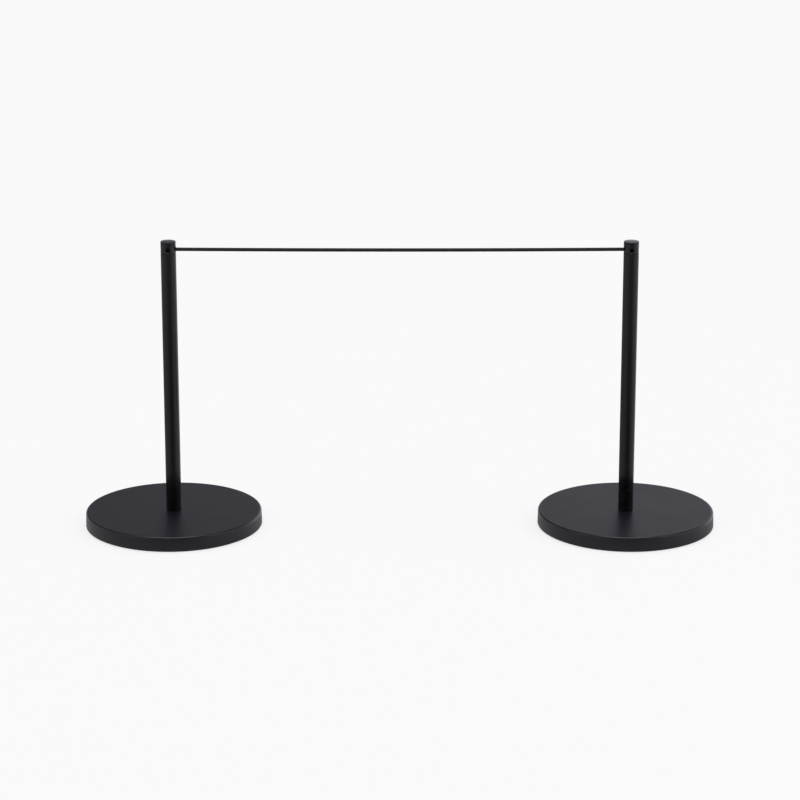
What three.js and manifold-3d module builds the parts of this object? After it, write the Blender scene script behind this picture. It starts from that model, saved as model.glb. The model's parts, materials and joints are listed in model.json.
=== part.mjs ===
// A low barrier for exhibition rooms: two slim posts on round weighted bases, joined by one taut
// retractable cord. The left post holds the cord and its spring, the right post receives the plug.
// Millimetres, +Z up. The origin is on the floor, midway between the posts; +X runs along the cord.
import * as THREE from "three";
import { mergeVertices } from "three/addons/utils/BufferGeometryUtils.js";
import Module from "manifold-3d";

const wasm = await Module();
wasm.setup();

// ---- driving dimensions ----
const POST_X = 311; // distance of each post's axis from the origin
const HEIGHT = 400;
const POST_R = 10.3; // outside radius of tube, head and cap
const TUBE_IN_R = 8.8;
const INSERT_R = 8.6; // everything that slides into the tube
const PORT_Z = 388.9; // height of the cord and of all ports
const PORT_R = 2.95;
const PORT_FLOOR = 4.95; // distance of a port's bottom from the post's axis
const CORD_R = 2.4;
const CORD_SAG = 1;

const BASE_R = 121; // at the floor
const BASE_TOP_R = 120.5; // where the side's line meets the top's
const BASE_H = 21;
const SHEET = 1.5; // thickness of the spun base cover
const SKIRT_Z = 1.2; // the cover's lower edge
const EDGE_R = 2.5; // rounding of the cover's upper edge
const PAD_H = 3;
const PAD_R = 118.5;
const WEIGHT_R = 117.3;
const BOLT_R = 4; // M8
const BOLT_HOLE_R = 4.5;

const SEAM_Z = 384; // tube's upper end
const SEAM_GAP = 0.2;
const CAP_H = 2.2;
const INSERT_Z = [372.5, 396]; // head insert, half in the tube and half in the head
const SCREW_Z = 377;
const SCREW_R = 1.5;

const BEND_R = 6.2; // radius of the cord's centreline on both sheaves
const SHEAVE_R = 6;
const SHEAVE_HALF = 3.7;
const GROOVE_R = 2.55;
const PIN_R = 1.25;
const SLOT_HALF = 3.95; // room for a sheave between two cheeks
const HEAD_SHEAVE_Z = PORT_Z - BEND_R;
const BLOCK_Z = 364; // axis of the moving block's sheave when the cord is fully drawn
const BOBBIN_Z = 41;
const COIL_R = 5.45;
const STRIP_X = 5.5; // inner face of the spring strip

const ROUND = 36;
const BASE_ROUND = 60;
const SMALL_ROUND = 20;
const GAP = 0.3; // clearance between a cord's separate lengths

// ---- materials ----
function material(color, roughness, metalness) {
  return new THREE.MeshStandardMaterial({ color, roughness, metalness });
}

const powderBlack = material(0x141416, 0.55, 0.3);
const satinBlack = material(0x1b1b1e, 0.4, 0.35);
const turnedBlack = material(0x17171a, 0.35, 0.5);
const rubber = material(0x0d0d0d, 0.9, 0);
const castIron = material(0x3a3a3c, 0.75, 0.7);
const steel = material(0x9a9ca0, 0.35, 0.9);
const springSteel = material(0x767a82, 0.3, 0.95);
const acetal = material(0x1c1c1c, 0.5, 0);
const nickel = material(0xc8c8ca, 0.2, 1);
const braid = material(0x101011, 0.8, 0);

// ---- shapes ----
function closed(geometry) {
  const bare = geometry.clone();
  bare.deleteAttribute("normal");
  bare.deleteAttribute("uv");
  const merged = mergeVertices(bare);
  const index = merged.index.array;
  const kept = [];
  for (let i = 0; i < index.length; i += 3) {
    const [a, b, c] = index.slice(i, i + 3);
    if (a !== b && b !== c && c !== a) kept.push(a, b, c);
  }
  merged.setIndex(kept);
  return merged;
}

function toSolid(geometry) {
  const shape = closed(geometry);
  const vertProperties = new Float32Array(shape.attributes.position.array);
  const triVerts = new Uint32Array(shape.index.array);
  return new wasm.Manifold(new wasm.Mesh({ numProp: 3, vertProperties, triVerts }));
}

function toGeometry(solid) {
  const mesh = solid.getMesh();
  const geometry = new THREE.BufferGeometry();
  geometry.setAttribute("position", new THREE.BufferAttribute(mesh.vertProperties, 3));
  geometry.setIndex(new THREE.BufferAttribute(mesh.triVerts, 1));
  return geometry;
}

function cut(geometry, ...tools) {
  return toGeometry(tools.reduce((body, tool) => body.subtract(toSolid(tool)), toSolid(geometry)));
}

function join(geometry, ...others) {
  return toGeometry(others.reduce((body, other) => body.add(toSolid(other)), toSolid(geometry)));
}

// A turned piece about Z from [radius, height] points, counter-clockwise.
function turned(profile, segments = ROUND) {
  const points = profile.map(([r, z]) => new THREE.Vector2(r, z));
  return closed(new THREE.LatheGeometry(points, segments).rotateX(Math.PI / 2));
}

function rod(radius, z0, z1, segments = ROUND) {
  return turned([[0, z0], [radius, z0], [radius, z1], [0, z1]], segments);
}

function ring(inner, outer, z0, z1, segments = ROUND) {
  return turned([[inner, z0], [outer, z0], [outer, z1], [inner, z1], [inner, z0]], segments);
}

function box([x0, x1], [y0, y1], [z0, z1]) {
  const geometry = new THREE.BoxGeometry(x1 - x0, y1 - y0, z1 - z0);
  return geometry.translate((x0 + x1) / 2, (y0 + y1) / 2, (z0 + z1) / 2);
}

// Turns a piece made about Z so that its axis points along +Y, at height z.
function acrossY(geometry, x, z) {
  return geometry.rotateX(-Math.PI / 2).translate(x, 0, z);
}

// Turns a piece made about Z so that its axis points outward, angle degrees from +X, at height z.
function outward(geometry, angle, z) {
  return geometry.rotateY(Math.PI / 2).rotateZ(THREE.MathUtils.degToRad(angle)).translate(0, 0, z);
}

function arcPoints(centre, radius, from, to, steps) {
  const points = [];
  for (let i = 0; i <= steps; i += 1) {
    const a = THREE.MathUtils.degToRad(from + ((to - from) * i) / steps);
    points.push([centre[0] + radius * Math.cos(a), centre[1] + radius * Math.sin(a)]);
  }
  return points;
}

// A route in the plane y = 0, from [x, z] points joined by straight lines.
class Route extends THREE.Curve {
  constructor(points) {
    super();
    this.points = points;
  }

  getPoint(t, target = new THREE.Vector3()) {
    const last = this.points.length - 1;
    const place = Math.min(t, 1) * last;
    const i = Math.min(Math.floor(place), last - 1);
    const [a, b] = [this.points[i], this.points[i + 1]];
    const share = place - i;
    return target.set(a[0] + (b[0] - a[0]) * share, 0, a[1] + (b[1] - a[1]) * share);
  }

  getPointAt(t, target) {
    return this.getPoint(t, target);
  }
}

function cordAlong(points, sides = 8) {
  const section = new THREE.Shape();
  section.setFromPoints(arcPoints([0, 0], CORD_R, 0, 360, sides).slice(0, sides)
    .map(([x, y]) => new THREE.Vector2(x, y)));
  const path = new Route(points);
  return closed(new THREE.ExtrudeGeometry(section, { steps: points.length - 1, extrudePath: path }));
}

// ---- base ----
function baseCover() {
  const lean = (BASE_R - BASE_TOP_R) / BASE_H;
  const upperR = BASE_R - lean * (BASE_H - EDGE_R);
  const innerTop = upperR - SHEET - 0.3;
  return turned([
    [BOLT_HOLE_R, BASE_H - SHEET],
    [innerTop, BASE_H - SHEET],
    [BASE_R - SHEET, SKIRT_Z],
    [BASE_R - lean * SKIRT_Z, SKIRT_Z],
    ...arcPoints([upperR - EDGE_R, BASE_H - EDGE_R], EDGE_R, 0, 90, 4),
    [BOLT_HOLE_R, BASE_H],
    [BOLT_HOLE_R, BASE_H - SHEET],
  ], BASE_ROUND);
}

function baseWeight() {
  const pocketR = 11;
  const pocketTop = 10.5;
  const top = BASE_H - SHEET - 0.2;
  return turned([
    [BOLT_HOLE_R, pocketTop],
    [pocketR, pocketTop],
    [pocketR, PAD_H],
    [WEIGHT_R, PAD_H],
    [WEIGHT_R, top],
    [BOLT_HOLE_R, top],
    [BOLT_HOLE_R, pocketTop],
  ], BASE_ROUND);
}

function floorPad() {
  return turned([
    [12, 0],
    [PAD_R, 0],
    [PAD_R, PAD_H],
    [12, PAD_H],
    [12, 0],
  ], BASE_ROUND);
}

function baseBolt() {
  const head = turned([[0, 3.6], [7.2, 3.6], [7.5, 4], [7.5, 8.9], [0, 8.9]], 6);
  return join(head, rod(BOLT_R, 8, 29, SMALL_ROUND));
}

function baseWasher() {
  return ring(BOLT_R + 0.3, 9.5, 8.95, 10.45, SMALL_ROUND);
}

function footPlug() {
  const bolt = rod(BOLT_R + 0.1, 20, 29.5, SMALL_ROUND);
  return cut(rod(INSERT_R, BASE_H + 0.1, 31), bolt);
}

// ---- post and head ----
function screwHole() {
  return outward(rod(SCREW_R + 0.1, 5.2, 12, SMALL_ROUND), 90, SCREW_Z);
}

function postTube() {
  const bevel = 0.3;
  const tube = turned([
    [TUBE_IN_R, BASE_H],
    [POST_R, BASE_H],
    [POST_R, SEAM_Z - bevel],
    [POST_R - bevel, SEAM_Z],
    [TUBE_IN_R, SEAM_Z],
    [TUBE_IN_R, BASE_H],
  ]);
  return cut(tube, screwHole());
}

function tubeScrew() {
  const socket = outward(turned([[0, 8.2], [0.9, 8.2], [0.9, 11], [0, 11]], 6), 90, SCREW_Z);
  return cut(outward(rod(SCREW_R, 5.4, 9.9, SMALL_ROUND), 90, SCREW_Z), socket);
}

function portBore(angle) {
  return outward(rod(PORT_R, PORT_FLOOR, POST_R + 2, SMALL_ROUND), angle, PORT_Z);
}

// Countersink that breaks a port's edge on the outside of the head.
function portMouth(angle) {
  const start = POST_R - 0.6;
  const end = POST_R + 0.6;
  const cone = turned([[0, start], [PORT_R, start], [PORT_R + end - start, end], [0, end]], SMALL_ROUND);
  return outward(cone, angle, PORT_Z);
}

function head(angles) {
  const bevel = 0.3;
  const low = SEAM_Z + SEAM_GAP;
  const top = HEIGHT - CAP_H - SEAM_GAP;
  const shell = turned([
    [TUBE_IN_R, low],
    [POST_R - bevel, low],
    [POST_R, low + bevel],
    [POST_R, top - bevel],
    [POST_R - bevel, top],
    [TUBE_IN_R, top],
    [TUBE_IN_R, low],
  ]);
  return cut(shell, ...angles.map(portBore), ...angles.map(portMouth));
}

function headCap() {
  const edge = 0.7;
  return turned([
    [0, INSERT_Z[1] + 0.2],
    [INSERT_R, INSERT_Z[1] + 0.2],
    [INSERT_R, HEIGHT - CAP_H],
    [POST_R, HEIGHT - CAP_H],
    ...arcPoints([POST_R - edge, HEIGHT - edge], edge, 0, 90, 3),
    [0, HEIGHT],
  ]);
}

// Solid steel core of the receiving head: the plug's magnet holds on it.
function headCore() {
  return cut(rod(INSERT_R, ...INSERT_Z), ...[0, 90, 180, 270].map(portBore), screwHole());
}

function addPost(parts, side, ports) {
  const add = (name, geometry, look) => {
    const mesh = new THREE.Mesh(geometry, look.clone());
    mesh.name = `${side}_${name}`;
    parts.add(mesh);
  };
  add("base_cover", baseCover(), satinBlack);
  add("base_weight", baseWeight(), castIron);
  add("floor_pad", floorPad(), rubber);
  add("base_bolt", baseBolt(), steel);
  add("base_washer", baseWasher(), steel);
  add("foot_plug", footPlug(), steel);
  add("post_tube", postTube(), powderBlack);
  add("tube_screw", tubeScrew(), steel);
  add("head", head(ports), turnedBlack);
  add("head_cap", headCap(), turnedBlack);
}

// ---- cord and its drive, in the left post ----
function sheave() {
  const reach = THREE.MathUtils.radToDeg(Math.acos((BEND_R - SHEAVE_R) / GROOVE_R));
  const groove = arcPoints([BEND_R, 0], GROOVE_R, 180 + reach, 180 - reach, 6);
  return turned([
    [PIN_R + 0.1, -SHEAVE_HALF],
    [SHEAVE_R, -SHEAVE_HALF],
    ...groove,
    [SHEAVE_R, SHEAVE_HALF],
    [PIN_R + 0.1, SHEAVE_HALF],
    [PIN_R + 0.1, -SHEAVE_HALF],
  ], 24);
}

function pin(halfLength) {
  return rod(PIN_R, -halfLength, halfLength, SMALL_ROUND);
}

function pinHole(x, z, radius = PIN_R) {
  return acrossY(rod(radius + 0.05, -12, 12, SMALL_ROUND), x, z);
}

const ANCHOR_Z = [372.8, 376.4]; // crimp on the cord's dead end
const ANCHOR_PIN_Z = 374.6;
const ANCHOR_PIN_R = 0.8;

// Fork that joins tube and head, carries the head sheave and holds the cord's dead end.
function sheaveCarrier() {
  const slotTop = PORT_Z + CORD_R + 1;
  const slot = box([-12, 12], [-SLOT_HALF, SLOT_HALF], [INSERT_Z[0] - 1, slotTop]);
  return cut(
    rod(INSERT_R, ...INSERT_Z),
    slot,
    portBore(90),
    portBore(-90),
    screwHole(),
    pinHole(0, HEAD_SHEAVE_Z),
    pinHole(BEND_R, ANCHOR_PIN_Z, ANCHOR_PIN_R),
  );
}

function cordAnchor() {
  const crimp = rod(CORD_R + 0.1, ...ANCHOR_Z, SMALL_ROUND).translate(BEND_R, 0, 0);
  return cut(crimp, pinHole(BEND_R, ANCHOR_PIN_Z, ANCHOR_PIN_R));
}

function cordEyelet() {
  const bore = CORD_R + 0.1;
  const outer = PORT_R - 0.07;
  const liner = turned([
    [bore, 7],
    [outer, 7],
    [outer, POST_R - 0.6],
    [outer + 0.5, POST_R - 0.05],
    [outer + 0.5, POST_R + 0.1],
    [outer + 0.1, POST_R + GAP],
    [bore + 0.1, POST_R + GAP],
    [bore, POST_R],
    [bore, 7],
  ], SMALL_ROUND);
  return outward(liner, 0, PORT_Z);
}

// Fixed stretch of the cord: out of the eyelet, over the head sheave and down to the insert's end.
function cordHeadBend() {
  const bend = arcPoints([0, HEAD_SHEAVE_Z], BEND_R, 90, 180, 7);
  return cordAlong([[POST_R + 0.2, PORT_Z], ...bend, [-BEND_R, INSERT_Z[0] + GAP]]);
}

function cordBlockBend() {
  return cordAlong(arcPoints([0, BLOCK_Z], BEND_R, 180, 360, 14));
}

function cordStrand(x) {
  return cordAlong([[x, BLOCK_Z + GAP], [x, INSERT_Z[0]]]);
}

function movingBlock() {
  const cheekOut = 5.3;
  const yokeTop = BLOCK_Z - BEND_R - CORD_R - 0.6;
  const body = box([-STRIP_X, STRIP_X], [-cheekOut, cheekOut], [BLOCK_Z - 14, BLOCK_Z + 3.5]);
  const slot = box([-12, 12], [-SLOT_HALF, SLOT_HALF], [yokeTop, BLOCK_Z + 10]);
  const tap = outward(rod(1.05, 2, 12, SMALL_ROUND), 0, BLOCK_Z - 11.6);
  return cut(body, slot, pinHole(0, BLOCK_Z), tap);
}

function tongueScrew() {
  const z = BLOCK_Z - 11.6;
  const headFace = STRIP_X + 0.4;
  return outward(
    turned([[0, 2.3], [1, 2.3], [1, headFace], [1.8, headFace], [1.8, 6.6], [1.5, 6.9], [0, 6.9]], SMALL_ROUND),
    0,
    z,
  );
}

function springStrip() {
  const strip = box([STRIP_X + 0.05, STRIP_X + 0.3], [-3.5, 3.5], [BOBBIN_Z + GAP, BLOCK_Z - 9.6]);
  return cut(strip, outward(rod(1.1, 2, 12, SMALL_ROUND), 0, BLOCK_Z - 11.6));
}

function springHolder() {
  const floor = rod(INSERT_R, 31.1, 33.4);
  const cheek = (y0, y1) => box([-4, 4], [y0, y1], [33, BOBBIN_Z + 5]);
  return cut(join(floor, cheek(4.3, 5.6), cheek(-5.6, -4.3)), pinHole(0, BOBBIN_Z));
}

function addDrive(parts) {
  const add = (name, geometry, look) => {
    const mesh = new THREE.Mesh(geometry, look.clone());
    mesh.name = name;
    parts.add(mesh);
  };
  add("sheave_carrier", sheaveCarrier(), steel);
  add("head_sheave", acrossY(sheave(), 0, HEAD_SHEAVE_Z), acetal);
  add("head_sheave_pin", acrossY(pin(7.4), 0, HEAD_SHEAVE_Z), steel);
  add("cord_anchor", cordAnchor(), steel);
  add("anchor_pin", acrossY(rod(ANCHOR_PIN_R, -5.4, 5.4, SMALL_ROUND), BEND_R, ANCHOR_PIN_Z), steel);
  add("cord_eyelet", cordEyelet(), acetal);
  add("cord_head_bend", cordHeadBend(), braid);
  add("cord_run_strand", cordStrand(-BEND_R), braid);
  add("cord_dead_strand", cordStrand(BEND_R), braid);
  add("cord_block_bend", cordBlockBend(), braid);
  add("moving_block", movingBlock(), steel);
  add("block_sheave", acrossY(sheave(), 0, BLOCK_Z), acetal);
  add("block_pin", acrossY(pin(5.2), 0, BLOCK_Z), steel);
  add("tongue_screw", tongueScrew(), steel);
  add("spring_strip", springStrip(), springSteel);
  add("spring_coil", acrossY(ring(3.15, COIL_R, -3.5, 3.5, 24), 0, BOBBIN_Z), springSteel);
  add("spring_bobbin", acrossY(ring(PIN_R + 0.1, 3.05, -4.1, 4.1, 24), 0, BOBBIN_Z), acetal);
  add("bobbin_pin", acrossY(pin(5.5), 0, BOBBIN_Z), steel);
  add("spring_holder", springHolder(), steel);
}

// ---- the cord's free span and its plug, in the row's own frame ----
const SPAN_START = -POST_X + POST_R + 0.5;
const PLUG_FACE = POST_X - POST_R + 0.3;
const SPAN_END = PLUG_FACE - GAP;
const SPAN_STEPS = 44;
const PLUG_NOSE = POST_X - PORT_FLOOR - 0.5;
const MAGNET_DEPTH = 1.5;

function cordSpan() {
  const points = [];
  for (let i = 0; i <= SPAN_STEPS; i += 1) {
    const share = i / SPAN_STEPS;
    const sag = 4 * CORD_SAG * share * (1 - share);
    points.push([SPAN_START + (SPAN_END - SPAN_START) * share, PORT_Z - sag]);
  }
  return cordAlong(points);
}

function cordPlug() {
  const r = PORT_R - 0.1;
  const body = turned([
    [0, PLUG_FACE],
    [r - 0.3, PLUG_FACE],
    [r, PLUG_FACE + 0.3],
    [r, PLUG_NOSE - 0.3],
    [r - 0.3, PLUG_NOSE],
    [0, PLUG_NOSE],
  ], SMALL_ROUND);
  const pocket = rod(2.15, PLUG_NOSE - MAGNET_DEPTH, PLUG_NOSE + 1, SMALL_ROUND);
  return outward(cut(body, pocket), 0, PORT_Z);
}

function plugMagnet() {
  return outward(rod(2.05, PLUG_NOSE - MAGNET_DEPTH + 0.1, PLUG_NOSE + 0.2, SMALL_ROUND), 0, PORT_Z);
}

// ---- assembly ----
const leftPost = new THREE.Group();
leftPost.position.x = -POST_X;
addPost(leftPost, "left", [0, 90, -90]);
addDrive(leftPost);

const rightPost = new THREE.Group();
rightPost.position.x = POST_X;
addPost(rightPost, "right", [0, 90, 180, 270]);
const core = new THREE.Mesh(headCore(), steel.clone());
core.name = "right_head_core";
rightPost.add(core);

const cord = new THREE.Group();
for (const [name, geometry, look] of [
  ["cord_span", cordSpan(), braid],
  ["cord_plug", cordPlug(), turnedBlack],
  ["plug_magnet", plugMagnet(), nickel],
]) {
  const mesh = new THREE.Mesh(geometry, look.clone());
  mesh.name = name;
  cord.add(mesh);
}

const barrier = new THREE.Group();
barrier.add(leftPost, rightPost, cord);

export default barrier;
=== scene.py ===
"""Looks of the low cord barrier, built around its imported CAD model. Metres, +Z up."""

import json
import math

import bmesh
import bpy
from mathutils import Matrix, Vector


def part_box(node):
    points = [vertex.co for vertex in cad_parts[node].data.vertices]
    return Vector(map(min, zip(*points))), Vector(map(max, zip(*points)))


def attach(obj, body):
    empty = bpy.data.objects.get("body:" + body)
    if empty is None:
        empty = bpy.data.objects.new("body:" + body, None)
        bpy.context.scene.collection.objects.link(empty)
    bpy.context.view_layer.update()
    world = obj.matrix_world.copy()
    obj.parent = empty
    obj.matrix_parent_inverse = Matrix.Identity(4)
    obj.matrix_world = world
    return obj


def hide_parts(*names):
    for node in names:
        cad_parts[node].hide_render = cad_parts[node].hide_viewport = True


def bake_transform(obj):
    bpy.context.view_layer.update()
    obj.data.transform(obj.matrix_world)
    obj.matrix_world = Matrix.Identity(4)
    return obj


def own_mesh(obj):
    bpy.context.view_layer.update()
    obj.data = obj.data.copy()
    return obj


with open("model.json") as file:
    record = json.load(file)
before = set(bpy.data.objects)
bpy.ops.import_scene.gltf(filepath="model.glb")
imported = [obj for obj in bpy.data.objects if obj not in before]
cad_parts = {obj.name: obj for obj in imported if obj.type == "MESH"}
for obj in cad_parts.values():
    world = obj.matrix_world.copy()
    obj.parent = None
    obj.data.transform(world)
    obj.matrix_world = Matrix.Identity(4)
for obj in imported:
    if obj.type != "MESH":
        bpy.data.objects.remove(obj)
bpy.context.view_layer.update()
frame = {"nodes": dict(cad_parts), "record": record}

MM = 0.001
SIDES = ("left", "right")
BODY = {"left": "left_post", "right": "right_post"}
HEAD_PORTS = {"left": (0, 1, 3), "right": (0, 1, 2, 3)}  # quarters that have one; 0 faces +X, 1 +Y
SCREW_QUARTER = 1


def centre_x(node):
    low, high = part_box(node)
    return (low.x + high.x) / 2


POST_X = {side: centre_x(f"{side}_post_tube") for side in SIDES}
TUBE_LOW, TUBE_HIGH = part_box("left_post_tube")
HEAD_LOW, HEAD_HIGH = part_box("left_head")
CAP_LOW, CAP_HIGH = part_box("left_head_cap")
CORE_LOW, CORE_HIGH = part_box("right_head_core")
COVER_LOW, COVER_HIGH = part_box("left_base_cover")
PAD_LOW, PAD_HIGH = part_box("left_floor_pad")
PLUG_LOW, PLUG_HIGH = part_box("cord_plug")
MAGNET_LOW, MAGNET_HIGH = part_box("plug_magnet")
SPAN_LOW, SPAN_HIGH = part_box("cord_span")
STRIP_LOW, STRIP_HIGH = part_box("spring_strip")
STRAND_LOW, STRAND_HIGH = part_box("cord_run_strand")

POST_R = (TUBE_HIGH.x - TUBE_LOW.x) / 2
TUBE_IN_R = 8.8 * MM
INSERT_R = 8.6 * MM
PORT_Z = (PLUG_LOW.z + PLUG_HIGH.z) / 2
PORT_R = 2.95 * MM
PORT_FLOOR = 4.95 * MM  # from the post's axis
SCREW_Z = 377 * MM
SCREW_HOLE_R = 1.6 * MM
CORD_R = 2.4 * MM
BEND_R = 6.2 * MM  # the cord's centre line on both sheaves


# ---- camera ----
LENS_MM = 135.0
SENSOR_MM = 36.0
CAMERA_AT = (0.0003, -3.921, 1.337)
CAMERA_PITCH = math.radians(16.47)


def place_camera():
    camera = bpy.data.objects.new("camera", bpy.data.cameras.new("camera"))
    camera.data.sensor_width = SENSOR_MM
    camera.data.lens = LENS_MM
    camera.location = CAMERA_AT
    camera.rotation_euler = (math.pi / 2 - CAMERA_PITCH, 0.0, 0.0)
    bpy.context.scene.collection.objects.link(camera)
    bpy.context.scene.camera = camera


# ---- mesh tools ----
def add_mesh(name, verts, faces, edge=None, sharp_angle=35.0):
    """A new smooth-shaded object. edge is a value for each vertex, 1 along worn edges."""
    mesh = bpy.data.meshes.new(name)
    mesh.from_pydata(verts, [], faces)
    mesh.polygons.foreach_set("use_smooth", [True] * len(mesh.polygons))
    if edge is not None:
        attribute = mesh.attributes.new("edge", "FLOAT", "POINT")
        attribute.data.foreach_set("value", edge)
    mesh.update()
    outward = bmesh.new()
    outward.from_mesh(mesh)
    bmesh.ops.recalc_face_normals(outward, faces=outward.faces)
    outward.to_mesh(mesh)
    outward.free()
    mesh.set_sharp_from_angle(angle=math.radians(sharp_angle))
    obj = bpy.data.objects.new(name, mesh)
    bpy.context.scene.collection.objects.link(obj)
    return obj


def bridge(faces, rings):
    """Joins neighbouring rings of points. A ring may be one point repeated, for a cone's tip."""
    for low, high in zip(rings, rings[1:]):
        count = len(low)
        for k in range(count):
            n = (k + 1) % count
            corners = list(dict.fromkeys((low[k], low[n], high[n], high[k])))
            if len(corners) > 2:
                faces.append(corners)


def close_ring(faces, ring, middle):
    """Fills a ring with triangles round a middle point."""
    for k, point in enumerate(ring):
        faces.append((point, ring[(k + 1) % len(ring)], middle))


def rounded(corners, steps=6):
    """A closed outline from (r, z, radius) corners: each corner becomes an arc of that radius.

    Returns (r, z, edge) points, where edge is 1 on the arcs.
    """
    points = []
    count = len(corners)
    for i, (r, z, radius) in enumerate(corners):
        here = Vector((r, z))
        if radius <= 0:
            points.append((r, z, 0.0))
            continue
        before = (Vector(corners[i - 1][:2]) - here).normalized()
        after = (Vector(corners[(i + 1) % count][:2]) - here).normalized()
        half = before.angle(after) / 2
        reach = radius / math.tan(half)
        middle = here + (before + after).normalized() * (radius / math.sin(half))
        start = here + before * reach - middle
        turn = start.angle_signed(here + after * reach - middle)
        for k in range(steps + 1):
            a = -turn * k / steps
            spoke = Vector((
                start.x * math.cos(a) - start.y * math.sin(a),
                start.x * math.sin(a) + start.y * math.cos(a),
            ))
            points.append((*(middle + spoke), 1.0))
    return points


def arc(centre, radius, start, end, steps=5):
    """(r, z, edge) points of a worn edge's arc; angles in degrees."""
    points = []
    for k in range(steps + 1):
        a = math.radians(start + (end - start) * k / steps)
        points.append((centre[0] + radius * math.cos(a), centre[1] + radius * math.sin(a), 1.0))
    return points


def bevelled(radius, high, size):
    """Points of a slightly domed bevel along the upper edge of a wall."""
    start, end = 45.0, 59.0
    dome = size / (math.cos(math.radians(start)) - math.cos(math.radians(end)))
    centre = (radius - dome * math.cos(math.radians(start)), high - dome * math.sin(math.radians(end)))
    return arc(centre, dome, start, end, 3)


def turned(name, outline, segments, centre=(0.0, 0.0, 0.0), axis="Z"):
    """A closed (r, z, edge) outline turned about an axis through centre; points at r = 0 are shared."""
    verts, edge, rings, faces = [], [], [], []
    for r, z, worn in outline:
        if r < 1e-9:
            rings.append([len(verts)] * segments)
            verts.append((0.0, 0.0, z))
            edge.append(worn)
            continue
        rings.append(list(range(len(verts), len(verts) + segments)))
        for k in range(segments):
            a = 2 * math.pi * k / segments
            verts.append((r * math.cos(a), r * math.sin(a), z))
            edge.append(worn)
    bridge(faces, rings + rings[:1])
    if axis == "X":
        verts = [(z, x, y) for x, y, z in verts]
    verts = [(x + centre[0], y + centre[1], z + centre[2]) for x, y, z in verts]
    return add_mesh(name, verts, faces, edge)


class Ported:
    """A round wall with holes bored square to it, in four quarter patches.

    Each patch's rays run from its hole's edge to its border. The wall's rings above and below share
    the border's points. hole is its (z, radius, depth of countersink).
    """

    SIDE = 24  # points along each side of a patch
    RINGS = 6  # steps of a ray
    CROWDING = 1.6  # above 1, the steps are shorter near the hole
    SINK_WEAR = 0.4

    def __init__(self, x, radius, patch, hole, holes):
        self.x, self.radius, self.holes = x, radius, holes
        self.low, self.high = patch
        self.hole_z, self.hole_r, self.sink = hole
        self.verts, self.edge, self.faces = [], [], []
        self.lookup = {}

    def put(self, point, worn=0.0):
        key = tuple(round(c, 8) for c in point)
        if key not in self.lookup:
            self.lookup[key] = len(self.verts)
            self.verts.append(tuple(point))
            self.edge.append(worn)
        return self.lookup[key]

    def on_wall(self, quarter, turn, z, radius):
        """A point at turn from the quarter's middle."""
        a = math.radians(90 * quarter) + turn
        return (self.x + radius * math.cos(a), radius * math.sin(a), z)

    def in_hole(self, quarter, phi, depth):
        """A point on the bore, towards phi, at depth from the post's axis."""
        u, v = self.hole_r * math.cos(phi), self.hole_r * math.sin(phi)
        a = math.radians(90 * quarter)
        return (
            self.x + depth * math.cos(a) - u * math.sin(a),
            depth * math.sin(a) + u * math.cos(a),
            self.hole_z + v,
        )

    def border(self):
        """(angle from the patch's middle, z) of the border points, once round."""
        half = math.pi / 4
        n = self.SIDE
        across = [-half + 2 * half * k / n for k in range(n)]
        up = [self.low + (self.high - self.low) * k / n for k in range(n)]
        down = [self.high - (self.high - self.low) * k / n for k in range(n)]
        return (
            [(a, self.low) for a in across]
            + [(half, z) for z in up]
            + [(-a, self.high) for a in across]
            + [(-half, z) for z in down]
        )

    def mouth(self, phi):
        """Distance from the hole's axis to the outer edge of its countersink, towards phi."""
        if not self.sink:
            return self.hole_r
        start = self.radius - self.sink
        rho = self.hole_r
        for _ in range(30):
            surface_at = math.sqrt(self.radius ** 2 - (rho * math.cos(phi)) ** 2)
            rho = max(self.hole_r, self.hole_r + surface_at - start)
        return rho

    def patch(self, quarter, radius, inner=False):
        """One patch. Returns the ring of points at its hole's edge, or None without a hole."""
        bored = quarter in self.holes
        rings = [[] for _ in range(self.RINGS + 1)]
        for turn, z in self.border():
            phi = math.atan2(z - self.hole_z, radius * math.sin(turn))
            rho = self.mouth(phi) if bored and not inner else self.hole_r
            turn0 = math.asin(rho * math.cos(phi) / radius)
            z0 = self.hole_z + rho * math.sin(phi)
            for i, ring in enumerate(rings):
                t = (i / self.RINGS) ** self.CROWDING
                point = self.on_wall(quarter, turn0 + (turn - turn0) * t, z0 + (z - z0) * t, radius)
                ring.append(self.put(point, 1.0 if i == 0 and bored and not inner else 0.0))
        bridge(self.faces, rings)
        if bored:
            return rings[0]
        close_ring(self.faces, rings[0], self.put(self.on_wall(quarter, 0.0, self.hole_z, radius)))
        return None

    def bore(self, quarter, edge_ring, inner_ring=None, floor=None):
        """The countersink and the bore, through to the inner wall's ring or blind down to floor."""
        phis = [math.atan2(z - self.hole_z, self.radius * math.sin(turn)) for turn, z in self.border()]
        rings = [edge_ring]
        if self.sink:
            start = self.radius - self.sink
            rings.append([self.put(self.in_hole(quarter, phi, start), self.SINK_WEAR) for phi in phis])
        if inner_ring is not None:
            bridge(self.faces, [*rings, inner_ring])
            return
        rings.append([self.put(self.in_hole(quarter, phi, floor)) for phi in phis])
        bridge(self.faces, rings)
        close_ring(self.faces, rings[-1], self.put(self.on_wall(quarter, 0.0, self.hole_z, floor)))

    def turned_rings(self, outline):
        """Rings of revolution through (r, z, edge) points, on the patches' border angles."""
        count = 4 * self.SIDE
        rings = []
        for r, z, worn in outline:
            ring = []
            for k in range(count):
                a = -math.pi / 4 + 2 * math.pi * k / count
                ring.append(self.put((self.x + r * math.cos(a), r * math.sin(a), z), worn))
            rings.append(ring)
        bridge(self.faces, rings)

    def build(self, name):
        return add_mesh(name, self.verts, self.faces, self.edge, sharp_angle=30.0)


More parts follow.
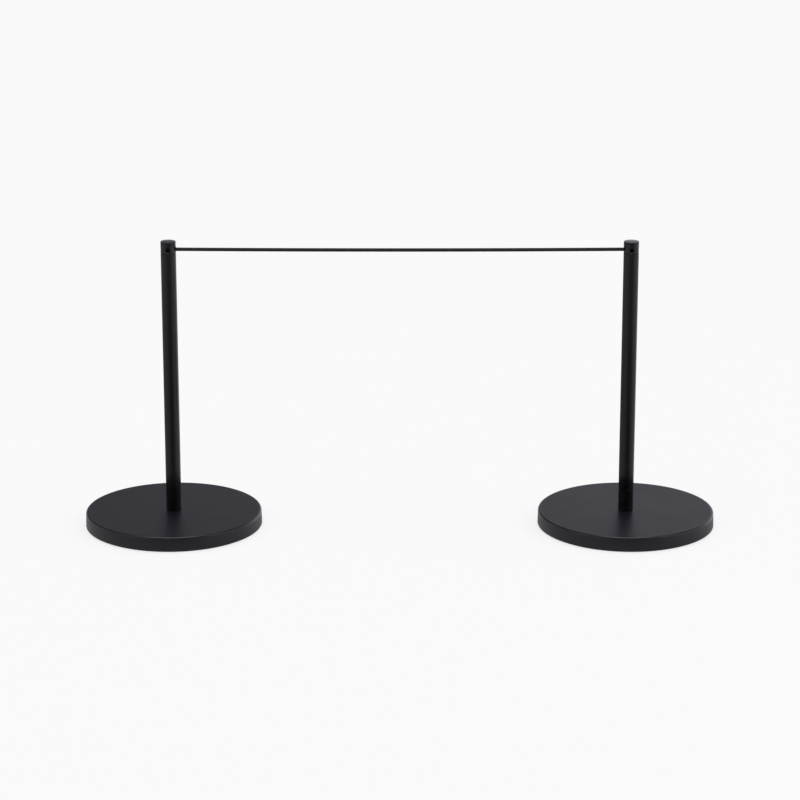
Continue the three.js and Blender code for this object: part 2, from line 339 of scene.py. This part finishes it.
def ported_ring(name, x, low, high, patch, hole, holes, lower, upper):
    """A tube with holes. patch is the (low, high) span of the holes; lower and upper are its worn ends."""
    wall = Ported(x, POST_R, patch, hole, holes)
    for quarter in range(4):
        outer_ring = wall.patch(quarter, POST_R)
        inner_ring = wall.patch(quarter, TUBE_IN_R, inner=True)
        if outer_ring is not None:
            wall.bore(quarter, outer_ring, inner_ring)
    for from_z, worn_end, to_z in ((patch[1], upper, high), (patch[0], lower, low)):
        wall.turned_rings([
            (POST_R, from_z, 0.0),
            *worn_end,
            (TUBE_IN_R, to_z, 0.0),
            (TUBE_IN_R, from_z, 0.0),
        ])
    return wall.build(name)


# ---- shader tools ----
class Tree:
    """Adds shader nodes. Each input is a value, or another node's output to link from."""

    def __init__(self, node_tree):
        self.node_tree = node_tree

    def fill(self, node, inputs):
        for socket, value in inputs.items():
            if isinstance(value, bpy.types.NodeSocket):
                self.node_tree.links.new(value, node.inputs[socket])
            else:
                node.inputs[socket].default_value = value

    def add(self, kind, inputs=None, **settings):
        node = self.node_tree.nodes.new(f"ShaderNode{kind}")
        for key, value in settings.items():
            setattr(node, key, value)
        self.fill(node, inputs or {})
        return node.outputs

    def maths(self, operation, *values):
        return self.add("Math", dict(enumerate(values)), operation=operation)[0]

    def noise(self, place, scale, detail, roughness):
        inputs = {"Vector": place, "Scale": scale, "Detail": detail, "Roughness": roughness}
        return self.add("TexNoise", inputs)["Fac"]

    def ranged(self, value, start, full, low, high, interpolation="LINEAR"):
        """low at start, high at full, and held beyond them."""
        inputs = {"Value": value, "From Min": start, "From Max": full, "To Min": low, "To Max": high}
        return self.add("MapRange", inputs, interpolation_type=interpolation)["Result"]

    def mixed_colour(self, share, first, second):
        return self.add("Mix", {0: share, 6: first, 7: second}, data_type="RGBA")[2]

    def mixed_shader(self, share, first, second):
        return self.add("MixShader", {0: share, 1: first, 2: second})[0]

    def seen_or_not(self, seen, unseen):
        """One shader for camera rays, and another for the rest."""
        return self.mixed_shader(self.add("LightPath")["Is Camera Ray"], unseen, seen)


def new_material(name):
    material = bpy.data.materials.new(name)
    material.use_nodes = True
    return material, Tree(material.node_tree), material.node_tree.nodes["Principled BSDF"]


# ---- materials ----
CLOUD_SCALE = 18.0  # broad changes of tone and gloss, per metre
RUB_SCALE = 260.0  # patches where an edge is rubbed, per metre
FUZZ_SCALE = 2600.0  # the cord's loose fibres, per metre
SPECK = (0.82, 1.25)  # the fine grain's effect on the colour
SOFT_SHARE = 1.6  # the soft relief's height against the fine one's
RING_SHARE = 0.5
THREADS = 5.0  # in each of the cord's yarns
THREAD_SHARE = 0.35
# yarn colour at the low end of the relief: dark fibres, and painted shade in the grooves between threads
YARN_DARK_AND_GROOVE_SHADE = (0.02, 0.02, 0.021, 1)
YARN_LIGHT = (0.052, 0.052, 0.054, 1)


def surface(name, dark, light, rough, metal=0.0, spec=0.5, grain=0.3, peel=1.1, depth=0.02,
            worn=(0.1, 0.1, 0.1), worn_mix=0.35, polish=0.0, rings=0.0):
    """A painted, coated or machined finish.

    dark and light are the colour's limits, rough its lowest and highest roughness. grain and peel are
    the sizes in mm of the fine and the soft relief, depth its height in mm, and rings the pitch in mm
    of turning marks across Z. Worn edges take up to worn_mix of the colour worn, and are smoother by
    polish.
    """
    material, tree, shader = new_material(name)
    place = tree.add("TexCoord")["Object"]
    cloud = tree.noise(place, CLOUD_SCALE, 5.0, 0.6)
    fine = tree.noise(place, 1000.0 / grain, 2.0, 0.55)
    soft = tree.noise(place, 1000.0 / peel, 1.0, 0.4)
    edge = tree.add("Attribute", attribute_name="edge")["Fac"]

    tone = tree.mixed_colour(cloud, (*dark, 1), (*light, 1))
    speck = tree.ranged(fine, 0.35, 0.75, *SPECK)
    grained = tree.add("VectorMath", {0: tone, "Scale": speck}, operation="SCALE")["Vector"]
    rubbed = tree.ranged(tree.noise(place, RUB_SCALE, 4.0, 0.7), 0.42, 0.68, 0.0, worn_mix)
    colour = tree.mixed_colour(tree.maths("MULTIPLY", rubbed, edge), grained, (*worn, 1))
    blotch = tree.ranged(cloud, 0.3, 0.7, *rough)

    height = tree.maths("MULTIPLY_ADD", soft, SOFT_SHARE, fine)
    if rings:
        z = tree.add("SeparateXYZ", {0: place})["Z"]
        wave = tree.maths("SINE", tree.maths("MULTIPLY", z, 2 * math.pi * 1000.0 / rings))
        height = tree.maths("MULTIPLY_ADD", wave, RING_SHARE, height)
    relief = tree.add("Bump", {"Strength": 0.6, "Distance": depth * MM, "Height": height})["Normal"]
    tree.fill(shader, {
        "Base Color": colour,
        "Roughness": tree.maths("MULTIPLY_ADD", edge, -polish, blotch),
        "Normal": relief,
        "Metallic": metal,
        "Specular IOR Level": spec,
    })
    return material


def braid(name):
    """Woven yarn. Fine threads run along each of the braid's two directions, from its UV map."""
    material, tree, shader = new_material(name)
    place = tree.add("SeparateXYZ", {0: tree.add("UVMap", uv_map="weave")["UV"]})
    waves = []
    for lean in (1.0, -1.0):
        across = tree.maths("MULTIPLY_ADD", place["Y"], lean, place["X"])
        waves.append(tree.maths("SINE", tree.maths("MULTIPLY", across, 2 * math.pi * THREADS)))
    over = tree.add("Attribute", attribute_name="over")["Fac"]
    thread = tree.add("Mix", {0: over, 2: waves[0], 3: waves[1]}, data_type="FLOAT")[0]
    fuzz = tree.noise(tree.add("TexCoord")["Object"], FUZZ_SCALE, 3.0, 0.7)
    height = tree.maths("MULTIPLY_ADD", thread, THREAD_SHARE, fuzz)
    relief = tree.add("Bump", {"Strength": 0.7, "Distance": 0.05 * MM, "Height": height})["Normal"]
    # the colour follows the relief: darker where the threads dip, which is painted shade in the grooves, and
    # varied at random by the loose fibres
    colour = tree.add("ValToRGB", {"Fac": height})["Color"]
    dark, light = colour.node.color_ramp.elements
    dark.position, dark.color = 0.25, YARN_DARK_AND_GROOVE_SHADE
    light.position, light.color = 0.85, YARN_LIGHT
    tree.fill(shader, {
        "Base Color": colour,
        "Roughness": tree.ranged(fuzz, 0.0, 1.0, 0.6, 0.85),
        "Normal": relief,
        "Specular IOR Level": 0.3,
    })
    return material


GREY_WEAR = (0.05, 0.05, 0.053)
SURFACES = {
    "powder_black": dict(
        dark=(0.0012, 0.0012, 0.0012), light=(0.0022, 0.0022, 0.0022), rough=(0.29, 0.36),
        grain=0.32, peel=1.0, depth=0.012, worn=GREY_WEAR, worn_mix=0.2, polish=0.16,
    ),
    "satin_black": dict(
        dark=(0.0028, 0.0025, 0.0076), light=(0.0044, 0.0039, 0.0106), rough=(0.38, 0.43),
        grain=0.4, peel=2.2, depth=0.006, worn=GREY_WEAR, worn_mix=0.3, polish=0.22,
    ),
    "turned_black": dict(
        dark=(0.0012, 0.0012, 0.0013), light=(0.0022, 0.0022, 0.0024), rough=(0.13, 0.17), spec=0.58,
        grain=0.25, peel=1.6, depth=0.005, worn=GREY_WEAR, worn_mix=0.25, rings=0.35,
    ),
    "rubber_black": dict(
        dark=(0.008, 0.008, 0.008), light=(0.014, 0.014, 0.0135), rough=(0.7, 0.85), spec=0.25,
        grain=0.5, peel=2.5, depth=0.05, worn_mix=0.1,
    ),
    "cast_iron_grey": dict(
        dark=(0.05, 0.05, 0.052), light=(0.085, 0.083, 0.08), rough=(0.55, 0.8), metal=0.7,
        grain=0.8, peel=3.0, depth=0.15,
    ),
    "zinc_steel": dict(
        dark=(0.42, 0.43, 0.45), light=(0.55, 0.56, 0.58), rough=(0.28, 0.42), metal=1.0,
        grain=0.3, peel=1.5, depth=0.01, worn_mix=0.0,
    ),
    "spring_steel": dict(
        dark=(0.33, 0.35, 0.38), light=(0.43, 0.45, 0.48), rough=(0.2, 0.3), metal=1.0,
        grain=0.3, peel=2.0, depth=0.006, worn_mix=0.0,
    ),
    "acetal_black": dict(
        dark=(0.008, 0.008, 0.008), light=(0.014, 0.014, 0.014), rough=(0.4, 0.5), spec=0.45,
        grain=0.3, peel=1.2, depth=0.01, worn_mix=0.15,
    ),
    "blackened_steel": dict(
        dark=(0.005, 0.005, 0.0055), light=(0.011, 0.011, 0.012), rough=(0.28, 0.38), metal=0.6, spec=0.25,
        grain=0.25, peel=1.2, depth=0.008, worn_mix=0.4,
    ),
    "nickel_plate": dict(
        dark=(0.6, 0.59, 0.56), light=(0.72, 0.71, 0.68), rough=(0.1, 0.18), metal=1.0,
        grain=0.3, peel=1.5, depth=0.004, worn_mix=0.0,
    ),
}
MATERIALS = {name: surface(name, **look) for name, look in SURFACES.items()}
MATERIALS["black_braid"] = braid("black_braid")
SLOT_OF = {row["node"]: row["material_slot"] for row in frame["record"]["subparts"]}


def dress(obj, slot, node):
    """Gives a new piece its material and hides the CAD node that it stands for."""
    obj.data.materials.append(MATERIALS[slot])
    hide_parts(node)
    return obj


def finish_piece(obj, slot, body, node):
    dress(obj, slot, node)
    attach(obj, body)
    return obj


# ---- carried-over CAD nodes: bolts, pins, sheaves and the other inner pieces ----
SOFT_EDGE = 0.15 * MM
THICKNESS_SHARE = 0.12


def dress_cad_nodes():
    for name, obj in frame["nodes"].items():
        obj.data.materials.clear()
        obj.data.materials.append(MATERIALS[SLOT_OF[name]])
        low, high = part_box(name)
        bevel = obj.modifiers.new("soft_edges", "BEVEL")
        bevel.width = min(SOFT_EDGE, THICKNESS_SHARE * min(high - low))
        bevel.segments = 2
        bevel.limit_method = "ANGLE"
        bevel.angle_limit = math.radians(40)


# ---- bases ----
def base_cover(side):
    low, top = COVER_LOW.z, COVER_HIGH.z
    low_r = (COVER_HIGH.x - COVER_LOW.x) / 2
    top_r = low_r - 0.5 * MM
    hole_r = 4.5 * MM
    sheet = 1.5 * MM
    outline = rounded([
        (hole_r, top - sheet, 0.0),
        (top_r - sheet - 0.3 * MM, top - sheet, 0.8 * MM),
        (low_r - sheet, low, 0.3 * MM),
        (low_r, low, 0.5 * MM),
        (low_r - 0.05 * MM, low + 2 * MM, 0.0),
        (top_r + 0.1 * MM, top - 4 * MM, 0.0),
        (top_r, top, 2.5 * MM),
        (top_r - 4 * MM, top, 0.0),
        (60 * MM, top, 0.0),
        (hole_r, top, 0.0),
    ], steps=12)
    cover = turned(f"{side}_cover_shell", outline, 256, (POST_X[side], 0.0, 0.0))
    return finish_piece(cover, "satin_black", BODY[side], f"{side}_base_cover")


def floor_pad(side):
    """Rubber pad with shallow rings pressed into its underside."""
    outer = (PAD_HIGH.x - PAD_LOW.x) / 2
    hole_r = 12 * MM
    hole_soft = 0.3 * MM
    pitch = 12 * MM
    groove_half = 0.9 * MM
    groove_depth = 0.8 * MM
    slope = 0.2 * MM
    soft = 0.6 * MM
    outline = [(hole_r, PAD_HIGH.z, 0.0), (hole_r, hole_soft, 0.0), (hole_r + hole_soft, 0.0, 0.0)]
    r = hole_r + pitch
    while r < outer - pitch / 2:
        outline += [
            (r - groove_half - slope, 0.0, 0.0),
            (r - groove_half, groove_depth, 0.0),
            (r + groove_half, groove_depth, 0.0),
            (r + groove_half + slope, 0.0, 0.0),
        ]
        r += pitch
    outline += [(outer - soft, 0.0, 0.0), *arc((outer - soft, soft), soft, -90, 0), (outer, PAD_HIGH.z, 0.0)]
    pad = turned(f"{side}_grip_pad", outline, 192, (POST_X[side], 0.0, 0.0))
    return finish_piece(pad, "rubber_black", BODY[side], f"{side}_floor_pad")


# ---- posts and heads ----
def post_tube(side):
    soft = 0.3 * MM
    margin = 5 * MM
    tube = ported_ring(
        f"{side}_tube_skin", POST_X[side], TUBE_LOW.z, TUBE_HIGH.z,
        patch=(SCREW_Z - margin, SCREW_Z + margin), hole=(SCREW_Z, SCREW_HOLE_R, 0.15 * MM),
        holes=(SCREW_QUARTER,),
        lower=arc((POST_R - soft, TUBE_LOW.z + soft), soft, 0, -90),
        upper=bevelled(POST_R, TUBE_HIGH.z, 0.6 * MM),
    )
    return finish_piece(tube, "powder_black", BODY[side], f"{side}_post_tube")


def head(side):
    low_soft, soft = 0.15 * MM, 0.3 * MM
    margin = soft + 0.05 * MM
    ring = ported_ring(
        f"{side}_head_ring", POST_X[side], HEAD_LOW.z, HEAD_HIGH.z,
        patch=(HEAD_LOW.z + margin, HEAD_HIGH.z - margin), hole=(PORT_Z, PORT_R, 0.5 * MM),
        holes=HEAD_PORTS[side],
        lower=arc((POST_R - low_soft, HEAD_LOW.z + low_soft), low_soft, 0, -90),
        upper=arc((POST_R - soft, HEAD_HIGH.z - soft), soft, 0, 90),
    )
    return finish_piece(ring, "turned_black", BODY[side], f"{side}_head")


def head_cap(side):
    top, low = CAP_HIGH.z, CAP_LOW.z
    flange = top - 2.2 * MM
    outline = rounded([
        (0.0, low, 0.0),
        (INSERT_R, low, 0.3 * MM),
        (INSERT_R, flange, 0.0),
        (POST_R, flange, 0.25 * MM),
        (POST_R, top, 0.7 * MM),
        (0.0, top, 0.0),
    ], steps=7)
    cap = turned(f"{side}_cap_disc", outline, 160, (POST_X[side], 0.0, 0.0))
    return finish_piece(cap, "turned_black", BODY[side], f"{side}_head_cap")


def head_core():
    """Steel core of the receiving head with its four blind bores."""
    low, high = CORE_LOW.z, CORE_HIGH.z
    patch = (low + 9 * MM, high - 0.8 * MM)
    soft = 0.4 * MM
    shoulder = INSERT_R - soft
    core = Ported(POST_X["right"], INSERT_R, patch, (PORT_Z, PORT_R, 0.0), HEAD_PORTS["right"])
    for quarter in range(4):
        core.bore(quarter, core.patch(quarter, INSERT_R), floor=PORT_FLOOR)
    core.turned_rings([
        (INSERT_R, patch[1], 0.0), *arc((shoulder, high - soft), soft, 0, 90), (0.0, high, 0.0),
    ])
    core.turned_rings([
        (INSERT_R, patch[0], 0.0), *arc((shoulder, low + soft), soft, 0, -90), (0.0, low, 0.0),
    ])
    return finish_piece(core.build("right_core_steel"), "blackened_steel", "right_post", "right_head_core")


def hexagon(size, a):
    """Radius at angle a of a hexagon with corners at size."""
    step = math.pi / 3
    return size * math.cos(step / 2) / math.cos((a % step) - step / 2)


def tube_screw(side):
    """Set screw with a hexagon socket, seen from behind."""
    low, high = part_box(f"{side}_tube_screw")
    radius = (high.x - low.x) / 2
    socket_r, socket_depth = 0.9 * MM, 1.6 * MM
    tip = 0.2 * MM  # the drill's cone under the socket
    soft = 0.08 * MM
    segments = 48
    profile = [  # radius, y, edge, whether a hexagon
        (radius - 0.3 * MM, low.y, 0.0, False),
        (radius, low.y + 0.4 * MM, 0.0, False),
        (radius, high.y - 0.25 * MM, 1.0, False),
        (radius - soft, high.y - soft, 1.0, False),
        (radius - 0.25 * MM, high.y, 1.0, False),
        (socket_r + soft, high.y, 1.0, True),
        (socket_r, high.y - soft, 0.5, True),
        (socket_r, high.y - socket_depth, 0.0, True),
    ]
    verts, edge, faces, rings = [], [], [], []
    for size, y, worn, six_sided in profile:
        rings.append(list(range(len(verts), len(verts) + segments)))
        for k in range(segments):
            a = 2 * math.pi * k / segments
            r = hexagon(size, a) if six_sided else size
            verts.append((POST_X[side] + r * math.cos(a), y, SCREW_Z + r * math.sin(a)))
            edge.append(worn)
    bridge(faces, rings)
    for ring, y in ((rings[0], low.y), (rings[-1], high.y - socket_depth - tip)):
        close_ring(faces, ring, len(verts))
        verts.append((POST_X[side], y, SCREW_Z))
        edge.append(0.0)
    screw = add_mesh(f"{side}_set_screw", verts, faces, edge, sharp_angle=25.0)
    return finish_piece(screw, "zinc_steel", BODY[side], f"{side}_tube_screw")


# ---- cord ----
CARRIERS = 8  # yarns in each of the braid's two directions
YARN_HEIGHT = 0.13 * MM
SPAN_AROUND = 64
INNER_AROUND = 24
BEND_STEP = 0.4 * MM
SPAN_SAG = 1.0 * MM
SPAN_POINTS = 24


def yarn_height(a, b):
    """(height from 0 to 1, which direction is on top) at weave coordinates a and b."""
    fa, fb = a % 1.0 - 0.5, b % 1.0 - 0.5
    a_on_top = (math.floor(a) + math.floor(b)) % 2 == 0
    wide, long = (fa, fb) if a_on_top else (fb, fa)
    dome = math.sqrt(max(0.0, 1.0 - 3.4 * wide * wide))
    return dome * math.cos(math.pi * long * 0.62), 1.0 if a_on_top else 0.0


def along(route, step):
    """(distance, point, direction) at even steps along a route."""
    lengths = [0.0]
    for p, q in zip(route, route[1:]):
        lengths.append(lengths[-1] + (Vector(q) - Vector(p)).length)
    count = max(2, round(lengths[-1] / step))
    segment = 0
    for i in range(count + 1):
        s = lengths[-1] * i / count
        while segment < len(route) - 2 and s > lengths[segment + 1]:
            segment += 1
        start, end = Vector(route[segment]), Vector(route[segment + 1])
        span = lengths[segment + 1] - lengths[segment]
        t = (s - lengths[segment]) / span
        before = Vector(route[max(segment - 1, 0)])
        after = Vector(route[min(segment + 2, len(route) - 1)])
        ahead = ((end - start).normalized() * 2 + (start - before) * (1 - t) / span
                 + (after - end) * t / span)
        yield s, start.lerp(end, t), ahead.normalized()


def map_weave(mesh, weave):
    """The braid's UV map. Faces that close the ring run on past the last yarn."""
    layer = mesh.uv_layers.new(name="weave")
    for face in mesh.polygons:
        places = [weave[mesh.loops[i].vertex_index] for i in face.loop_indices]
        closes = max(u for u, _ in places) > CARRIERS / 2
        for i, (u, v) in zip(face.loop_indices, places):
            layer.data[i].uv = (u + CARRIERS if closes and u == 0.0 else u, v)


def braided(name, route, step, around):
    """A braided cord along a smooth route in a plane of constant Y, given by points in order."""
    pitch = 2 * math.pi * CORD_R / CARRIERS
    side = Vector((0.0, 1.0, 0.0))
    verts, over, weave, rings, faces = [], [], [], [], []
    for s, here, ahead in along(route, step):
        up = side.cross(ahead).normalized()
        rings.append(list(range(len(verts), len(verts) + around)))
        for k in range(around):
            turn = k / around
            height, top = yarn_height(turn * CARRIERS + s / pitch, turn * CARRIERS - s / pitch)
            r = CORD_R - YARN_HEIGHT * (1.0 - height)
            angle = 2 * math.pi * turn
            verts.append(here + (side * math.cos(angle) + up * math.sin(angle)) * r)
            over.append(top)
            weave.append((turn * CARRIERS, s / pitch))
    bridge(faces, rings)
    for ring, point in ((rings[0], route[0]), (rings[-1], route[-1])):
        close_ring(faces, ring, len(verts))
        verts.append(Vector(point))
        over.append(0.0)
        weave.append((0.0, 0.0))
    cord = add_mesh(name, verts, faces, sharp_angle=60.0)
    cord.data.attributes.new("over", "FLOAT", "POINT").data.foreach_set("value", over)
    map_weave(cord.data, weave)
    return cord


def cord_span(plug, magnet):
    length = SPAN_HIGH.x - SPAN_LOW.x
    route = []
    for i in range(SPAN_POINTS + 1):
        share = i / SPAN_POINTS
        route.append((SPAN_LOW.x + length * share, 0.0, PORT_Z - 4 * SPAN_SAG * share * (1 - share)))
    span = braided("cord_braid", route, 0.25 * MM, SPAN_AROUND)
    finish_piece(span, "black_braid", "left_post", "cord_span")
    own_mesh(span)
    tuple(route[0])


def around_sheave(x, z, start, end, steps):
    """Points of the cord's centre line on a sheave; angles in degrees."""
    points = []
    for k in range(steps + 1):
        a = math.radians(start + (end - start) * k / steps)
        points.append((x + BEND_R * math.cos(a), 0.0, z + BEND_R * math.sin(a)))
    return points


def cord_inside():
    """The cord inside the left post: over the head sheave, down to the block and up to its anchor."""
    x = POST_X["left"]
    overlap = 0.3 * MM  # where a bend runs into its strand
    high, low = STRAND_HIGH.z, STRAND_LOW.z
    over = [
        (x + POST_R + 0.2 * MM, 0.0, PORT_Z),
        (x + POST_R / 2, 0.0, PORT_Z),
        *around_sheave(x, PORT_Z - BEND_R, 90, 180, 16),
        (x - BEND_R, 0.0, high + overlap),
    ]
    under = around_sheave(x, low - overlap, 180, 360, 32)
    for name, route, body, node in (
        ("cord_over_sheave", over, "left_post", "cord_head_bend"),
        ("cord_under_block", under, "moving_block", "cord_block_bend"),
    ):
        finish_piece(braided(name, route, BEND_STEP, INNER_AROUND), "black_braid", body, node)
    for node, offset in (("cord_run_strand", -BEND_R), ("cord_dead_strand", BEND_R)):
        line = [(x + offset, 0.0, high + (low - high) * k / 8) for k in range(9)]
        strand = dress(braided(f"{node}_braid", line, 0.2 * MM, INNER_AROUND), "black_braid", node)
        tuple(line[0])
        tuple(line[-1])
        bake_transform(strand)


def spring_strip():
    """The spring's straight run, drawn as a fixed straight strip. On the real post it winds onto its bobbin
    as the block goes down.
    """
    low, high = STRIP_LOW, STRIP_HIGH
    corner = 0.08 * MM
    outline = [
        (low.x + corner, low.y), (high.x - corner, low.y), (high.x, low.y + corner),
        (high.x, high.y - corner), (high.x - corner, high.y), (low.x + corner, high.y),
        (low.x, high.y - corner), (low.x, low.y + corner),
    ]
    steps = 60
    length = high.z - low.z
    verts, rings, faces = [], [], []
    for i in range(steps + 1):
        rings.append(list(range(len(verts), len(verts) + len(outline))))
        verts += [(x, y, low.z + length * i / steps) for x, y in outline]
    bridge(faces, rings)
    faces += [rings[0], rings[-1]]
    strip = add_mesh("spring_blade", verts, faces)
    finish_piece(strip, "spring_steel", "left_post", "spring_strip")
    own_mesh(strip)


def cord_plug():
    """Turned plug with a rounded mouth, two grip grooves and a bevelled nose."""
    low, high = PLUG_LOW.x, PLUG_HIGH.x
    r = (PLUG_HIGH.z - PLUG_LOW.z) / 2
    mouth_r, mouth_depth = CORD_R - 0.1 * MM, 0.4 * MM
    mouth_soft, nose_soft = 0.3 * MM, 0.35 * MM
    pocket_r, pocket_x = 2.15 * MM, MAGNET_LOW.x - 0.1 * MM
    groove, slope, width = 0.25 * MM, 0.1 * MM, 0.45 * MM
    outline = [
        (0.0, low + mouth_depth, 0.0),
        (mouth_r, low + mouth_depth, 0.0),
        (mouth_r, low + 0.1 * MM, 0.0),
        *arc((r - mouth_soft, low + mouth_soft), mouth_soft, -90, 0),
    ]
    for start in (low + 1.3 * MM, low + 2.2 * MM):
        outline += [
            (r, start, 1.0),
            (r - groove, start + slope, 0.0),
            (r - groove, start + width - slope, 0.0),
            (r, start + width, 1.0),
        ]
    outline += [
        *arc((r - nose_soft, high - nose_soft), nose_soft, 0, 90),
        (pocket_r, high, 0.5),
        (pocket_r, pocket_x, 0.0),
        (0.0, pocket_x, 0.0),
    ]
    plug = turned("plug_body", outline, 96, (0.0, 0.0, PORT_Z), axis="X")
    return finish_piece(plug, "blackened_steel", "cord_end", "cord_plug")


def plug_magnet():
    low, high = MAGNET_LOW.x, MAGNET_HIGH.x
    r = (MAGNET_HIGH.z - MAGNET_LOW.z) / 2
    soft = 0.2 * MM
    outline = [(0.0, low, 0.0), (r, low, 0.0), *arc((r - soft, high - soft), soft, 0, 90), (0.0, high, 0.0)]
    disc = turned("magnet_disc", outline, 96, (0.0, 0.0, PORT_Z), axis="X")
    return finish_piece(disc, "nickel_plate", "cord_end", "plug_magnet")


def eyelet():
    """Liner of the left head's exit port, with a rounded lip."""
    low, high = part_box("cord_eyelet")
    bore = CORD_R + 0.08 * MM
    outer = PORT_R - 0.07 * MM
    lip = (high.z - low.z) / 2
    outline = rounded([
        (bore, low.x, 0.0),
        (outer, low.x, 0.0),
        (outer, high.x - 0.9 * MM, 0.0),
        (lip, high.x - 0.35 * MM, 0.0),
        (lip, high.x - 0.05 * MM, 0.15 * MM),
        (bore, high.x, 0.3 * MM),
    ])
    liner = turned("exit_liner", outline, 96, (0.0, 0.0, PORT_Z), axis="X")
    return finish_piece(liner, "acetal_black", "left_post", "cord_eyelet")


# ---- studio ----
SEEN_WHITE = (0.955, 0.955, 0.957)
ROOM_TINT = (1.0, 0.98, 1.05)
ROOM_BASE = 0.135
HORIZON_GLOW = 0.34
HORIZON_BAND = (0.07, 0.32)  # height of a direction where the glow is full and where it ends
GLOWS = (  # direction, cosines where the glow starts and is full, strength
    ((0.992, 0.05, -0.09), (0.35, 0.95), 0.46),
    ((-0.962, -0.259, -0.09), (0.4, 0.95), 0.26),
    ((0.5, 0.86, 0.1), (0.78, 0.95), 0.44),
    ((0.0, 0.0, 1.0), (0.4, 0.8), 0.12),
    ((0.0, 0.0, 1.0), (0.9, 0.97), 2.8),
)
LIGHTS = (  # name, place, power
    ("key_right", (2.4, -1.2, 2.2), 6.0),
    ("fill_left", (-2.4, -1.2, 2.2), 3.0),
)
LIGHT_SIZE = 1.2
LIGHT_AIM = Vector((0, 0, 0.15))
FLOOR_SIZE = 40.0
FLOOR_ALBEDO, FLOOR_GLOW = 0.1, 0.884
NEAR_ALBEDO, NEAR_GLOW = 0.35, 0.713  # beside a base: the same white, with a stronger contact shadow
POOL_GLOW = 0.5  # light that the floor beside a base throws on it
POOL_REACH = (0.13, 0.2)  # distances from a post where that floor ends being near and is far


def room_strength(tree):
    """Brightness of the studio around the object, by direction."""
    towards = tree.add("TexCoord")["Generated"]
    level = tree.maths("ABSOLUTE", tree.add("SeparateXYZ", {0: towards})["Z"])
    band = tree.ranged(level, *HORIZON_BAND, 0.0, -HORIZON_GLOW, "SMOOTHSTEP")
    strength = tree.maths("ADD", band, ROOM_BASE + HORIZON_GLOW)
    for direction, (start, full), power in GLOWS:
        facing = tree.add("VectorMath", {0: towards, 1: direction}, operation="DOT_PRODUCT")["Value"]
        glow = tree.ranged(facing, start, full, 0.0, power, "SMOOTHSTEP")
        strength = tree.maths("ADD", strength, glow)
    return strength


def backdrop():
    """White for the camera, and a dimmer room with soft glows for all other rays."""
    world = bpy.data.worlds.new("studio")
    bpy.context.scene.world = world
    world.use_nodes = True
    world.node_tree.nodes.clear()
    tree = Tree(world.node_tree)
    white = tree.add("Background", {"Color": (*SEEN_WHITE, 1)})[0]
    room = tree.add("Background", {"Color": (*ROOM_TINT, 1), "Strength": room_strength(tree)})[0]
    tree.add("OutputWorld", {"Surface": tree.seen_or_not(white, room)})


def floor():
    """White for the camera. Other rays pass through it, but for a glowing pool round each base."""
    bpy.ops.mesh.primitive_plane_add(size=FLOOR_SIZE)
    plane = bpy.context.object
    plane.name = "floor"
    material, tree, shader = new_material("pale_floor")
    place = tree.add("TexCoord")["Object"]
    folded = tree.add("VectorMath", {0: place}, operation="ABSOLUTE")["Vector"]
    post = (POST_X["right"], 0.0, 0.0)
    reach = tree.add("VectorMath", {0: folded, 1: post}, operation="DISTANCE")["Value"]
    near = tree.ranged(reach, POOL_REACH[1], POOL_REACH[0], 0.0, 1.0, "SMOOTHSTEP")
    tree.fill(shader, {
        "Base Color": tree.ranged(near, 0.0, 1.0, FLOOR_ALBEDO, NEAR_ALBEDO),
        "Emission Strength": tree.ranged(near, 0.0, 1.0, FLOOR_GLOW, NEAR_GLOW),
        "Emission Color": (1.0, 1.0, 1.0, 1),
        "Roughness": 1.0,
        "Specular IOR Level": 0.0,
    })
    pool = tree.add("Emission", {"Strength": POOL_GLOW})[0]
    thrown = tree.mixed_shader(near, tree.add("BsdfTransparent")[0], pool)
    seen = tree.seen_or_not(shader.outputs[0], thrown)
    tree.fill(material.node_tree.nodes["Material Output"], {"Surface": seen})
    plane.data.materials.append(material)


def lamps():
    for name, at, power in LIGHTS:
        light = bpy.data.lights.new(name, "AREA")
        light.shape = "SQUARE"
        light.size = LIGHT_SIZE
        light.energy = power
        lamp = bpy.data.objects.new(name, light)
        lamp.location = at
        lamp.rotation_mode = "QUATERNION"
        lamp.rotation_quaternion = (LIGHT_AIM - Vector(at)).to_track_quat("-Z", "Y")
        bpy.context.scene.collection.objects.link(lamp)


# ---- assembly ----
place_camera()
dress_cad_nodes()
cord_span(cord_plug(), plug_magnet())
for post_side in SIDES:
    base_cover(post_side)
    floor_pad(post_side)
    post_tube(post_side)
    head(post_side)
    head_cap(post_side)
    tube_screw(post_side)
head_core()
eyelet()
cord_inside()
spring_strip()
bpy.context.scene.view_settings.view_transform = "Standard"
backdrop()
floor()
lamps()
